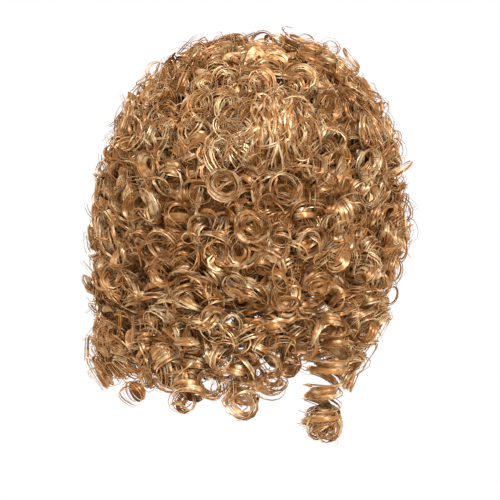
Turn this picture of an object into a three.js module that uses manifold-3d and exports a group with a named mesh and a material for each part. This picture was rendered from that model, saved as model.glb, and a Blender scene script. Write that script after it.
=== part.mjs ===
// A curly wig: a fitted cap with an elastic edge band, and rows of curled hair sewn to it.
// Millimetres, +Z up. The wearer faces -Y and their left is +X. The origin is where the top of the
// head meets the inside of the cap.
import * as THREE from "three";
import { ParametricGeometry } from "three/addons/geometries/ParametricGeometry.js";
import { mergeVertices } from "three/addons/utils/BufferGeometryUtils.js";
import Module from "manifold-3d";

// The head that the cap fits.
const HEAD_BREADTH = 156;
const HEAD_LENGTH = 196;
const CROWN_RISE = 112; // from the head's widest level up to the seat
const NAPE_TAPER = 130; // half height of the rounding below the widest level

// The cap and its band.
const CAP_WALL = 1.6;
const BAND_WIDTH = 9;
const BAND_WALL = 2.4;
const SEAM = 0.3; // clearance between neighbouring pieces
const HAIR_INSET = 0.8; // where the hair's own surface starts, before the cap's room is cut from it
const ROOM_DEPTH = 12; // how far inside the head that room reaches

// The hair's depth over the cap, out to the outline that the locks reach.
const TOP_HAIR = 35;
const SIDE_HAIR = 58;
const BACK_HAIR = 42;
const FRINGE_HAIR = 16;

// The hair's levels.
const WIDEST_DROP = 132; // from the seat down to the widest level of the hair
const HEM_DROP = 244; // from the seat down to the hem, where the ringlets begin to part
const RINGLET_REACH = 66; // how far the longest ringlet hangs below the hem
const FULLNESS = 2.65; // exponent of the dome's superellipse, 2 is an ellipse
const MATTED_SHARE = 0.68; // how much of the hair's depth is one matted mass under the locks
const ZONE_MARGIN = 0.2; // how far a weft may reach past the hair's depth, as a share of it

// The locks.
const LOCK_RADIUS = 18;
const LOCK_VARIETY = 0.24; // how much the locks' radii differ, as a share of them
const LOCK_TURNS = 1.1;
const RINGLET_RADIUS = 13.5;
const RINGLET_TURNS = 2; // down to the hem, and one more over the longest reach
const COIL_SHARE = 0.3; // how far a lock's middle line swings, as a share of its radius
const LOCK_SHOULDER = 0.2; // how far into its taper a lock starts, so that its top is blunt
const LOCK_SIDES = 5;
const LOCK_RINGS = 5;
const RINGLET_RINGS = 9;

// How finely the round pieces are cut.
const CAP_SLICES = 28;
const CAP_STACKS = 6;
const MASS_SLICES = 24;
const MASS_STACKS = 6; // for each level of the hair
const SECTOR_SLICES = 12;

// The cap's rim: its angle from the vertical at each azimuth, in degrees. Azimuth 0 is the forehead,
// 90 the left ear and 180 the nape; the right side mirrors the left.
const RIM = [
  { azimuth: 0, polar: 56 },
  { azimuth: 45, polar: 68 },
  { azimuth: 75, polar: 90 },
  { azimuth: 100, polar: 96 },
  { azimuth: 135, polar: 118 },
  { azimuth: 180, polar: 127 },
];

// The hair's outline below its widest level, down to the hem: shares of the drop, width and depth.
const HANG = [
  { drop: 0, width: 1, depth: 1 },
  { drop: 0.4, width: 0.99, depth: 0.98 },
  { drop: 0.75, width: 0.94, depth: 0.93 },
  { drop: 1, width: 0.86, depth: 0.86 },
];

// The hair's lean to one side, level by level, in millimetres toward the wearer's left.
const SWAY = [
  { level: 0, left: -12 },
  { level: 0.5, left: -4 },
  { level: 1, left: 0 },
  { level: 2, left: 11 },
];

// Levels run from 0 at the top of the head through 1 at the widest level to 2 at the hem, and on
// to 3 past the longest ringlet. Each weft fills the hair between two levels and two azimuths.
const HEM = 2;
const PAST_RINGLETS = 3;
const WEFTS = [
  { name: "crown_weft", from: 0, to: 0.36, start: 0, end: 360 },
  { name: "fringe_weft", from: 0.36, to: 0.74, start: -60, end: 60 },
  { name: "upper_weft", from: 0.36, to: 0.68, start: 60, end: 300 },
  { name: "middle_weft", from: 0.68, to: 1.02, start: 60, end: 300 },
  { name: "lower_weft", from: 1.02, to: 1.38, start: 104, end: 256 },
  { name: "left_side_weft", from: 1.02, to: HEM, start: 60, end: 104 },
  { name: "right_side_weft", from: 1.02, to: HEM, start: 256, end: 300 },
  { name: "nape_weft", from: 1.38, to: HEM, start: 104, end: 256 },
];

// The rows of locks: the levels where a row starts and ends, how many locks it has, and how many
// degrees each lock leans round the head on its way down.
const LOCK_ROWS = [
  { weft: "crown_weft", from: 0.03, to: 0.26, count: 4, lean: 40 },
  { weft: "crown_weft", from: 0.15, to: 0.42, count: 7, lean: 16 },
  { weft: "fringe_weft", from: 0.3, to: 0.58, count: 3, lean: -6 },
  { weft: "fringe_weft", from: 0.48, to: 0.8, count: 4, lean: 6 },
  { weft: "upper_weft", from: 0.33, to: 0.74, count: 9, lean: 6 },
  { weft: "middle_weft", from: 0.65, to: 1.08, count: 10, lean: -4 },
  { weft: "lower_weft", from: 0.98, to: 1.48, count: 7, lean: 4 },
  { weft: "left_side_weft", from: 0.98, to: 1.6, count: 2, lean: 3 },
  { weft: "left_side_weft", from: 1.4, to: 2.25, count: 2, lean: -3 },
  { weft: "right_side_weft", from: 0.98, to: 1.6, count: 2, lean: -3 },
  { weft: "right_side_weft", from: 1.4, to: 2.25, count: 2, lean: 3 },
];

// The separate ringlets: azimuth, and how far each reaches below the hem as a share of the longest.
const RINGLETS = [
  { azimuth: 111, reach: 0.3 },
  { azimuth: 125, reach: 0.1 },
  { azimuth: 139, reach: 0.52 },
  { azimuth: 154, reach: 0.64 },
  { azimuth: 168, reach: 0.4 },
  { azimuth: 183, reach: 0.5 },
  { azimuth: 196, reach: 0.12 },
  { azimuth: 211, reach: 1 },
  { azimuth: 227, reach: 0.36 },
  { azimuth: 247, reach: 0.26 },
];
const RINGLET_FROM = 1.4; // the level where the ringlets start
const SEED_STEP = 50; // keeps each row's scattered values apart from the next row's

// The outline's reach from the middle of the head.
const HAIR_RISE = CAP_WALL + TOP_HAIR;
const HAIR_SIDE = HEAD_BREADTH / 2 + CAP_WALL + SIDE_HAIR;
const HAIR_BACK = HEAD_LENGTH / 2 + CAP_WALL + BACK_HAIR;
const HAIR_FRONT = HEAD_LENGTH / 2 + CAP_WALL + FRINGE_HAIR;

const HAIR_COLOUR = 0xb58a5a;
const CAP_COLOUR = 0x6b4a31;
const BAND_COLOUR = 0x7d5a3e;

const wasm = await Module();
wasm.setup();

const radians = THREE.MathUtils.degToRad;
const degrees = THREE.MathUtils.radToDeg;
const lerp = THREE.MathUtils.lerp;

// A smooth value from a table at x, eased between the rows on either side.
function fromTable(rows, key, column, x) {
  const after = rows.findIndex((row) => row[key] >= x);
  if (after < 0) return rows[rows.length - 1][column];
  if (after === 0) return rows[0][column];
  const low = rows[after - 1];
  const high = rows[after];
  const share = (x - low[key]) / (high[key] - low[key]);
  return lerp(low[column], high[column], THREE.MathUtils.smoothstep(share, 0, 1));
}

// A value between 0 and 1 that looks random but is the same each time, from a whole number.
function scatter(index) {
  const wave = Math.sin(index * 12.9898) * 43758.5453;
  return wave - Math.floor(wave);
}

function rimPolar(azimuth) {
  const turned = THREE.MathUtils.euclideanModulo(azimuth, 360);
  return fromTable(RIM, "azimuth", "polar", Math.min(turned, 360 - turned));
}

// A point a given distance outside the head, at an azimuth and an angle from the vertical.
function headPoint(azimuth, polar, offset) {
  const around = radians(azimuth);
  const down = radians(polar);
  const rise = polar < 90 ? CROWN_RISE : NAPE_TAPER;
  return new THREE.Vector3(
    (HEAD_BREADTH / 2 + offset) * Math.sin(down) * Math.sin(around),
    -(HEAD_LENGTH / 2 + offset) * Math.sin(down) * Math.cos(around),
    (rise + offset) * Math.cos(down) - CROWN_RISE,
  );
}

// The inside of the hair: it follows the head, and below the band it hangs straight down.
function innerPoint(azimuth, level) {
  const bandEnd = rimPolar(azimuth) + bandAngle() + seamAngle();
  const polar = level * 90;
  if (polar <= bandEnd) return headPoint(azimuth, polar, HAIR_INSET);
  const edge = headPoint(azimuth, bandEnd, BAND_WALL + SEAM);
  const share = (polar - bandEnd) / (180 - bandEnd);
  edge.z = lerp(edge.z, -HEM_DROP, share);
  return edge;
}

// The outline that the locks reach: a superellipse dome, and the table's sections below it.
function outerPoint(azimuth, level) {
  const around = radians(azimuth);
  const power = 2 / FULLNESS;
  const angle = radians(Math.min(level, 1) * 90);
  const out = Math.sin(angle) ** power;
  const hang = THREE.MathUtils.clamp(level - 1, 0, 1);
  const width = fromTable(HANG, "drop", "width", hang) * out;
  const depth = fromTable(HANG, "drop", "depth", hang) * out;
  const reach = Math.cos(around) > 0 ? HAIR_FRONT : HAIR_BACK;
  const z =
    level <= 1
      ? (HAIR_RISE + WIDEST_DROP) * Math.cos(angle) ** power - WIDEST_DROP
      : lerp(-WIDEST_DROP, -HEM_DROP, level - 1);
  return new THREE.Vector3(
    HAIR_SIDE * width * Math.sin(around) + fromTable(SWAY, "level", "left", level),
    -reach * depth * Math.cos(around),
    z,
  );
}

// The band's width as an angle of the head's rounding.
function bandAngle() {
  return degrees(BAND_WIDTH / CROWN_RISE);
}

// The clearance between two pieces as an angle of the head's rounding.
function seamAngle() {
  return degrees(SEAM / CROWN_RISE);
}

// A closed three.js surface as a manifold-3d solid with its faces pointing out.
function solidOf(geometry) {
  const bare = new THREE.BufferGeometry();
  bare.setAttribute("position", geometry.getAttribute("position"));
  bare.setIndex(geometry.index);
  const merged = mergeVertices(bare, 1e-4);
  const corners = [];
  for (let i = 0; i < merged.index.count; i += 3) {
    const [a, b, c] = [0, 1, 2].map((k) => merged.index.getX(i + k));
    if (a !== b && b !== c && a !== c) corners.push(a, b, c);
  }
  const build = (triangles) =>
    new wasm.Manifold(
      new wasm.Mesh({
        numProp: 3,
        vertProperties: new Float32Array(merged.attributes.position.array),
        triVerts: new Uint32Array(triangles),
      }),
    );
  const made = build(corners);
  return made.volume() > 0 ? made : build(corners.reverse());
}

function meshOf(name, solid, colour, roughness) {
  const { numProp, vertProperties, triVerts } = solid.getMesh();
  const positions = new Float32Array((vertProperties.length / numProp) * 3);
  for (let i = 0; i < positions.length / 3; i += 1) {
    positions.set(vertProperties.subarray(i * numProp, i * numProp + 3), i * 3);
  }
  const geometry = new THREE.BufferGeometry();
  geometry.setAttribute("position", new THREE.BufferAttribute(positions, 3));
  geometry.setIndex(new THREE.BufferAttribute(triVerts, 1));
  geometry.computeVertexNormals();
  const mesh = new THREE.Mesh(
    geometry,
    new THREE.MeshStandardMaterial({ color: colour, roughness, metalness: 0 }),
  );
  mesh.name = name;
  return mesh;
}

// A solid lofted round the vertical axis: profile(azimuth) lists its points from start to end.
function loftAround(profile, slices) {
  const stacks = profile(0).length - 1;
  const surface = (u, v, target) => {
    const azimuth = (u % 1) * 360;
    target.copy(profile(azimuth)[Math.round(v * stacks)]);
  };
  return solidOf(new ParametricGeometry(surface, slices, stacks));
}

// Evenly spaced values from one number to another, both included.
function steps(from, to, count) {
  return Array.from({ length: count + 1 }, (_, i) => lerp(from, to, i / count));
}

// The cap: an open dome with an even wall, from the seat down to its rim.
function capSolid() {
  return loftAround((azimuth) => {
    const shares = steps(0, 1, CAP_STACKS);
    const rim = rimPolar(azimuth);
    const outside = shares.map((s) => headPoint(azimuth, rim * s, CAP_WALL));
    const inside = shares.map((s) => headPoint(azimuth, rim * s, 0));
    return [...outside, ...inside.reverse()];
  }, CAP_SLICES);
}

// The elastic band that carries on from the cap's rim.
function bandSolid() {
  return loftAround((azimuth) => {
    const top = rimPolar(azimuth) + seamAngle();
    const foot = rimPolar(azimuth) + bandAngle();
    return [
      headPoint(azimuth, top, BAND_WALL),
      headPoint(azimuth, foot, BAND_WALL),
      headPoint(azimuth, foot, 0),
      headPoint(azimuth, top, 0),
      headPoint(azimuth, top, BAND_WALL),
    ];
  }, CAP_SLICES);
}

// The room that the cap and the band take, with the clearance round them, to cut from the hair.
function foundationRoom() {
  return loftAround((azimuth) => {
    const rim = rimPolar(azimuth);
    const foot = rim + bandAngle() + seamAngle();
    const shares = steps(0, 1, CAP_STACKS);
    const outside = shares.map((s) => headPoint(azimuth, rim * s, CAP_WALL + SEAM));
    const band = [rim, foot].map((polar) => headPoint(azimuth, polar, BAND_WALL + SEAM));
    const inside = shares.map((s) => headPoint(azimuth, foot * s, -ROOM_DEPTH));
    return [...outside, ...band, ...inside.reverse()];
  }, CAP_SLICES);
}

// A wedge of space between two azimuths, kept half a seam clear of each side.
function sector(start, end) {
  const far = 4 * (HAIR_SIDE + HAIR_BACK);
  const tall = 2 * (HEM_DROP + RINGLET_REACH + HAIR_RISE);
  const half = (end - start) / 2;
  const toward = (azimuth, distance) =>
    new THREE.Vector2(
      Math.sin(radians(azimuth)) * distance,
      -Math.cos(radians(azimuth)) * distance,
    );
  const tip = toward(start + half, SEAM / 2 / Math.sin(radians(half)));
  const rim = steps(start, end, SECTOR_SLICES).map((a) => toward(a, far).add(tip));
  const outline = new THREE.Shape([tip, ...rim]);
  const geometry = new THREE.ExtrudeGeometry(outline, { depth: tall, bevelEnabled: false });
  return solidOf(geometry.translate(0, 0, -tall / 2));
}

// The hair from the top of the head down to a level, between two shares of the hair's depth.
function hairDownTo(end, near, far) {
  const at = (azimuth, level, share) =>
    innerPoint(azimuth, level).lerp(outerPoint(azimuth, level), share);
  return loftAround((azimuth) => {
    const levels = steps(0, end, Math.ceil(end * MASS_STACKS));
    const inside = levels.map((level) => at(azimuth, level, near));
    const outside = levels.map((level) => at(azimuth, level, far));
    return [...outside, ...inside.reverse()];
  }, MASS_SLICES);
}

// The space that a weft may fill, half a seam clear of its neighbours.
function zoneOf(weft) {
  const half = SEAM / CROWN_RISE / 2;
  const end = weft.to >= HEM ? PAST_RINGLETS : weft.to - half;
  const reach = (level) => hairDownTo(level, -ZONE_MARGIN, 1 + ZONE_MARGIN);
  const ring = weft.from > 0 ? reach(end).subtract(reach(weft.from + half)) : reach(end);
  const whole = weft.end - weft.start >= 360;
  return whole ? ring : ring.intersect(sector(weft.start, weft.end));
}

// A curled lock: a tapered tube whose middle line coils round the path that it follows.
function lockSolid(path, radius, turns, phase, rings) {
  const centres = steps(0, 1, rings).map((v) => path(v));
  const frames = centres.map(({ point, out }, i) => {
    const next = centres[Math.min(i + 1, rings)].point;
    const last = centres[Math.max(i - 1, 0)].point;
    const along = next.clone().sub(last).normalize();
    const side = new THREE.Vector3().crossVectors(along, out).normalize();
    const up = new THREE.Vector3().crossVectors(side, along).normalize();
    return { point, side, up };
  });
  const surface = (u, v, target) => {
    const { point, side, up } = frames[Math.round(v * rings)];
    const full = Math.sin(Math.PI * lerp(LOCK_SHOULDER, 1, v)) ** 0.5;
    const thick = v === 0 || v === 1 ? 0 : radius * (1 - COIL_SHARE) * full;
    const turn = phase + 2 * Math.PI * turns * v;
    const swing = radius * COIL_SHARE * full;
    const around = 2 * Math.PI * (u % 1);
    target
      .copy(point)
      .addScaledVector(side, swing * Math.cos(turn) + thick * Math.cos(around))
      .addScaledVector(up, swing * Math.sin(turn) + thick * Math.sin(around));
  };
  return solidOf(new ParametricGeometry(surface, LOCK_SIDES, rings));
}

// The path of a lock that lies just inside the hair's outline, between two levels.
function lyingPath(azimuth, from, to, lean, radius) {
  return (v) => {
    const level = lerp(from, to, v);
    const turned = azimuth + lean * v;
    const skin = outerPoint(turned, level);
    const out = skin.clone().sub(innerPoint(turned, level)).normalize();
    if (level > HEM) skin.z = -HEM_DROP - RINGLET_REACH * (level - HEM);
    return { point: skin.addScaledVector(out, -radius), out };
  };
}

function rowLocks(row, weft, seed) {
  const span = weft.end - weft.start;
  const whole = span >= 360;
  return Array.from({ length: row.count }, (_, i) => {
    const loose = scatter(seed + i);
    const spacing = span / row.count;
    const room = whole ? spacing : (span - edgeAngle(weft)) / row.count;
    const first = whole ? 0 : weft.start + edgeAngle(weft) / 2;
    const azimuth = first + room * (i + 0.5) - row.lean / 2;
    const radius = LOCK_RADIUS * (1 + LOCK_VARIETY * (loose - 0.5));
    const path = lyingPath(azimuth, row.from, row.to, row.lean, radius);
    return lockSolid(path, radius, LOCK_TURNS, 2 * Math.PI * loose, LOCK_RINGS);
  });
}

// How much of a weft's span stays free of locks, half of it at each end.
function edgeAngle(weft) {
  const skin = outerPoint(90, (weft.from + weft.to) / 2);
  return degrees(LOCK_RADIUS / Math.hypot(skin.x, skin.y));
}

function ringletSolids() {
  return RINGLETS.map(({ azimuth, reach }, i) => {
    const path = lyingPath(azimuth, RINGLET_FROM, HEM + reach, 0, RINGLET_RADIUS);
    const turns = RINGLET_TURNS + reach;
    return lockSolid(path, RINGLET_RADIUS, turns, 2 * Math.PI * scatter(i), RINGLET_RINGS);
  });
}

// A weft: its part of the matted hair with its locks fused to it.
function weftSolid(weft, index, matting, room) {
  const rows = LOCK_ROWS.filter((row) => row.weft === weft.name);
  const locks = rows.flatMap((row, i) => rowLocks(row, weft, SEED_STEP * (2 * index + i)));
  const ringlets = weft.name === "nape_weft" ? ringletSolids() : [];
  const curled = wasm.Manifold.union([matting, ...locks, ...ringlets]);
  return largestBody(curled.intersect(zoneOf(weft)).subtract(room));
}

// The one main body of a solid: loose slivers go, and closed pockets between locks are filled.
function largestBody(solid) {
  const volume = (body) => Math.abs(body.volume());
  const bodies = solid.decompose();
  return bodies.reduce((best, body) => (volume(body) > volume(best) ? body : best));
}

const foundation = new THREE.Group();
foundation.add(meshOf("cap", capSolid(), CAP_COLOUR, 0.9));
foundation.add(meshOf("edge_band", bandSolid(), BAND_COLOUR, 0.8));

const hair = new THREE.Group();
const room = foundationRoom();
const matting = hairDownTo(HEM, 0, MATTED_SHARE);
WEFTS.forEach((weft, index) => {
  hair.add(meshOf(weft.name, weftSolid(weft, index, matting, room), HAIR_COLOUR, 0.45));
});

const wig = new THREE.Group();
wig.add(foundation, hair);

export default wig;
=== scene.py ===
"""The looks of a curly wig: curls of swept bands of fibre over matted hair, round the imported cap."""

from __future__ import annotations

import logging
import math
from dataclasses import dataclass, field
from enum import Enum

import bpy
import numpy as np
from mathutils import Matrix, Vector


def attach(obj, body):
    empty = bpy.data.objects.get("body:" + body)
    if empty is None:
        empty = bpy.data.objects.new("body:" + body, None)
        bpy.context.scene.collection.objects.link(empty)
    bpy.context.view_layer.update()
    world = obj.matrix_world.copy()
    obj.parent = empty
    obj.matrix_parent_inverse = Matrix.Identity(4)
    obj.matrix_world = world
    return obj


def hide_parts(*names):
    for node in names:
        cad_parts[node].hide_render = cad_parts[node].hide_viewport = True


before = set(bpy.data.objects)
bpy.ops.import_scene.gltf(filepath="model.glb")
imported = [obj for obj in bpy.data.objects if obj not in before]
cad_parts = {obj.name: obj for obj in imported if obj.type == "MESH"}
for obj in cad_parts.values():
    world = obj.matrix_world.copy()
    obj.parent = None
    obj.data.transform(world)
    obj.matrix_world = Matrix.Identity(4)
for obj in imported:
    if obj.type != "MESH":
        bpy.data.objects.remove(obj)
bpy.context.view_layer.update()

log = logging.getLogger("wig")

MM = 0.001
TAU = 2 * math.pi
Pair = tuple[float, float]
Triple = tuple[float, float, float]
Row = tuple[float, ...]


def mm(*values: float) -> Row:
    """Millimetres in metres."""
    return tuple(value * MM for value in values)


def unit(v: np.ndarray) -> np.ndarray:
    """Vectors over their own lengths, along the last axis."""
    return v / np.maximum(np.linalg.norm(v, axis=-1, keepdims=True), 1e-12)


def smooth(x: np.ndarray, low: float, high: float) -> np.ndarray:
    """An eased step from 0 at low to 1 at high: 3s^2 - 2s^3 of the share s between."""
    s = np.clip((x - low) / (high - low), 0, 1)
    return s * s * (3 - 2 * s)


def eased_table(x: np.ndarray, keys: Row, values: Row) -> np.ndarray:
    """A table's value at x, eased between the two rows on either side.

    Args:
        x: where to read the table.
        keys: the rows' places, rising.
        values: the rows' values.

    Returns:
        The value at each x, held beyond the ends.
    """
    k, v = np.array(keys), np.array(values)
    x = np.clip(x, k[0], k[-1])
    i = np.clip(np.searchsorted(k, x, side="left"), 1, len(k) - 1)
    s = (x - k[i - 1]) / (k[i] - k[i - 1])
    return v[i - 1] + (v[i] - v[i - 1]) * s * s * (3 - 2 * s)


def drift(travel: np.ndarray, shape: tuple[int, ...], rng: np.random.Generator) -> np.ndarray:
    """Sine waves along some travel, each of which starts anywhere in its turn.

    Args:
        travel: how many waves have passed at each point.
        shape: the shape that gives every wave one start of its own.
        rng: the source of chance.

    Returns:
        The waves, from -1 to 1.
    """
    return np.sin(TAU * (travel + rng.uniform(0, 1, shape)))


@dataclass
class Lie:
    """Places on the hair's outline, and which way is out, down and round from each.

    Attributes:
        place: the outline's points.
        out: outward directions.
        down: downward directions along the outline.
        round_: sideways directions.
        depth: how far the inside is below each point.
    """

    place: np.ndarray
    out: np.ndarray
    down: np.ndarray
    round_: np.ndarray
    depth: np.ndarray


@dataclass(frozen=True)
class HairForm:
    """The form of the hair over the head, in metres, as the part's own source gives it.

    Azimuth 0 is the forehead, 90 the left ear and 180 the nape, in degrees. Levels run from 0 at the
    top of the head through 1 at the widest level to 2 at the hem, and on past it along the ringlets.
    """

    # The head, the cap and the edge band, and the rim's angles from the vertical by azimuth
    head_breadth: float = 156 * MM
    head_length: float = 196 * MM
    crown_rise: float = 112 * MM
    nape_taper: float = 130 * MM
    cap_wall: float = 1.6 * MM
    band_width: float = 9 * MM
    band_wall: float = 2.4 * MM
    rim_azimuths: Row = (0, 45, 75, 100, 135, 180)
    rim_polars: Row = (56, 68, 90, 96, 118, 127)

    # How far the curls stand off the cap, how far down they hang, and how square their dome is
    top_hair: float = 35 * MM
    side_hair: float = 58 * MM
    back_hair: float = 42 * MM
    fringe_hair: float = 16 * MM
    widest_drop: float = 132 * MM
    hem_drop: float = 244 * MM
    fullness: float = 2.5

    # Widths by level on the dome, widths and depths by share of the hang, and how far left it sways
    dome_levels: Row = (0, 0.35, 0.6, 0.85, 1)
    dome_widths: Row = (1, 0.945, 0.95, 0.98, 1)
    hang_drops: Row = (0, 0.4, 0.62, 0.8, 1)
    hang_widths: Row = (1, 0.98, 0.92, 0.88, 0.83)
    hang_depths: Row = (1, 0.98, 0.95, 0.92, 0.86)
    sway_levels: Row = (0, 0.5, 1, 1.5, 1.85, 2)
    sway_lefts: Row = mm(-12, -4, 0, 7, 19, 23)

    # The locks at the hem, how far past it they reach, and the levels where the hair gathers into them
    lock_azimuths: Row = (
        60, 76, 92, 109, 124, 139, 150, 162, 173, 184, 195, 209, 224, 246, 266, 282, 298
    )
    lock_reaches: Row = (
        0.12, 0.05, 0.22, 0.28, 0.1, 0.42, 0.3, 0.55, 0.3, 0.56, 0.3, 0.05, 0.85, 0.34, 0.1, 0.2, 0.05
    )
    lock_spread: float = 6.5
    gathering_levels: Pair = (1.36, 1.8)

    # The thin spots, their size in degrees and levels, and the share of curls that is missing there
    gap_azimuths: Row = (142, 194, 214, 226)
    gap_levels: Row = (1.36, 1.72, 1.27, 1.52)
    gap_spread: float = 5
    gap_drop: float = 0.1
    gap_loss: float = 0.8

    # Where the matted hair thins out: round the face opening, under the fringe and towards the hem
    bare_azimuths: Pair = (54, 76)
    bare_levels: Pair = (0.56, 0.76)
    thinning_levels: Pair = (1.2, 1.55)
    thinning: float = 0.95

    # The depth that the lining's curls may take, and the clumps that the curls gather in
    lining_share: float = 0.6
    clump_size: float = 9 * MM
    clump_rise: float = 4.5 * MM

    def rim_polar(self, azimuth: np.ndarray) -> np.ndarray:
        """The rim's angle from the vertical at an azimuth, the same on both sides."""
        turned = np.mod(azimuth, 360)
        return eased_table(np.minimum(turned, 360 - turned), self.rim_azimuths, self.rim_polars)

    def head(self, azimuth: np.ndarray, polar: np.ndarray, offset: float) -> np.ndarray:
        """Points on the head's two half ellipsoids, swollen by an offset.

        Args:
            azimuth: degrees round the head.
            polar: degrees from the vertical.
            offset: metres outside the head.

        Returns:
            Points in the row frame.
        """
        a, p = np.radians(azimuth), np.radians(polar)
        rise = np.where(polar < 90, self.crown_rise, self.nape_taper)
        x = (self.head_breadth / 2 + offset) * np.sin(p) * np.sin(a)
        y = -(self.head_length / 2 + offset) * np.sin(p) * np.cos(a)
        z = (rise + offset) * np.cos(p) - self.crown_rise
        return np.stack([x, y, z], -1)

    def inner(self, azimuth: np.ndarray, level: np.ndarray) -> np.ndarray:
        """The inside of the hair: on the cap, then straight down from the band.

        Args:
            azimuth: degrees round the head.
            level: levels down the hair.

        Returns:
            Points in the row frame.
        """
        polar = level * 90
        end = self.rim_polar(azimuth) + math.degrees(self.band_width / self.crown_rise)
        on_cap = self.head(azimuth, polar, self.band_wall)
        below = self.head(azimuth, end, self.band_wall)
        below[..., 2] += (-self.hem_drop - below[..., 2]) * (polar - end) / (180 - end)
        return np.where((polar <= end)[..., None], on_cap, below)

    def outer(self, azimuth: np.ndarray, level: np.ndarray) -> np.ndarray:
        """The curls' outline: a superellipse dome, then eased sections down to the hem.

        Args:
            azimuth: degrees round the head.
            level: levels down the hair.

        Returns:
            Points in the row frame.
        """
        a = np.radians(azimuth)
        angle = np.radians(np.clip(level, 0, 1) * 90)
        out = np.sin(angle) ** (2 / self.fullness)
        hang = np.clip(level - 1, 0, 1)
        rise = self.cap_wall + self.top_hair
        dome = (rise + self.widest_drop) * np.cos(angle) ** (2 / self.fullness) - self.widest_drop
        drop = -self.widest_drop - (self.hem_drop - self.widest_drop) * (level - 1)
        side = self.head_breadth / 2 + self.cap_wall + self.side_hair
        front = self.head_length / 2 + self.cap_wall + self.fringe_hair
        back = self.head_length / 2 + self.cap_wall + self.back_hair
        reach = np.where(np.cos(a) > 0, front, back)
        left = eased_table(level, self.sway_levels, self.sway_lefts)
        width = eased_table(hang, self.hang_drops, self.hang_widths)
        width = width * eased_table(level, self.dome_levels, self.dome_widths)
        depth = eased_table(hang, self.hang_drops, self.hang_depths)
        x = side * width * out * np.sin(a) + left
        y = -reach * depth * out * np.cos(a)
        return np.stack([x, y, np.where(level <= 1, dome, drop)], -1)

    def at(self, azimuth: np.ndarray, level: np.ndarray, share: np.ndarray) -> np.ndarray:
        """Points between the inside and the outline.

        Args:
            azimuth: degrees round the head.
            level: levels down the hair.
            share: 0 on the inside and 1 on the outline.

        Returns:
            Points in the row frame.
        """
        low = self.inner(azimuth, level)
        return low + (self.outer(azimuth, level) - low) * share[..., None]

    def lie(self, azimuth: np.ndarray, level: np.ndarray) -> Lie:
        """How the hair lies at places on its outline, from the outline's slopes a small step away.

        Args:
            azimuth: degrees round the head.
            level: levels down the hair.

        Returns:
            The places with their directions and depths.
        """
        step, turn = 0.01, 1
        here = self.outer(azimuth, level)
        down = unit(self.outer(azimuth, level + step) - self.outer(azimuth, np.maximum(level - step, 0)))
        ring = np.maximum(level, step)
        round_ = unit(self.outer(azimuth + turn, ring) - self.outer(azimuth - turn, ring))
        inside = here - self.inner(azimuth, level)
        out = unit(np.cross(round_, down))
        out *= np.sign(np.sum(out * inside, -1, keepdims=True))
        return Lie(here, out, down, round_, np.linalg.norm(inside, axis=-1))

    def lining(self, azimuth: np.ndarray, level: np.ndarray) -> Lie:
        """How the hair lies on its inside, where it faces the neck and the cheeks.

        Args:
            azimuth: degrees round the head.
            level: levels down the hair, below the band.

        Returns:
            The places with their directions, which point inwards, and depths.
        """
        outside = self.lie(azimuth, level)
        inside = self.inner(azimuth, level)
        return Lie(inside, -outside.out, outside.down, outside.round_, outside.depth * self.lining_share)

    def clumped(self, lie: Lie) -> Lie:
        """Gathers the hair into clumps: places rise and sink by the mean of three crossed sine waves.

        Args:
            lie: places on the outline.

        Returns:
            The same places, moved along their outward directions.
        """
        x, y, z = (lie.place / self.clump_size).T
        waves = np.sin(x + 1.3 * z) + np.sin(1.7 * z - 0.9 * y + 1) + np.sin(1.2 * (x + y) - z + 2)
        place = lie.place + lie.out * (waves / 3 * self.clump_rise)[:, None]
        return Lie(place, lie.out, lie.down, lie.round_, lie.depth)

    def cover(self, azimuth: np.ndarray, level: np.ndarray) -> np.ndarray:
        """How thick the matted hair is: it thins out to the hem and to the edges of the face opening.

        Args:
            azimuth: degrees round the head.
            level: levels down the hair.

        Returns:
            Shares of its full thickness.
        """
        turned = np.mod(azimuth, 360)
        beside = smooth(np.minimum(turned, 360 - turned), *self.bare_azimuths)
        above = 1 - smooth(level, *self.bare_levels)
        return np.maximum(beside, above) * (1 - self.thinning * smooth(level, *self.thinning_levels))

    def fill(self, azimuth: np.ndarray, level: np.ndarray) -> np.ndarray:
        """How full the hair is: it has a few thin spots, and gathers into its locks near the hem.

        Args:
            azimuth: degrees round the head.
            level: levels down the hair.

        Returns:
            Shares of the full number of curls.
        """
        away = (azimuth[..., None] - np.array(self.lock_azimuths)) / self.lock_spread
        near = np.exp(-(away**2)).max(-1)
        across = (azimuth[..., None] - np.array(self.gap_azimuths)) / self.gap_spread
        along = (level[..., None] - np.array(self.gap_levels)) / self.gap_drop
        gap = np.exp(-(across**2) - along**2).max(-1)
        return (1 - smooth(level, *self.gathering_levels) * (1 - near)) * (1 - self.gap_loss * gap)

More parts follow.
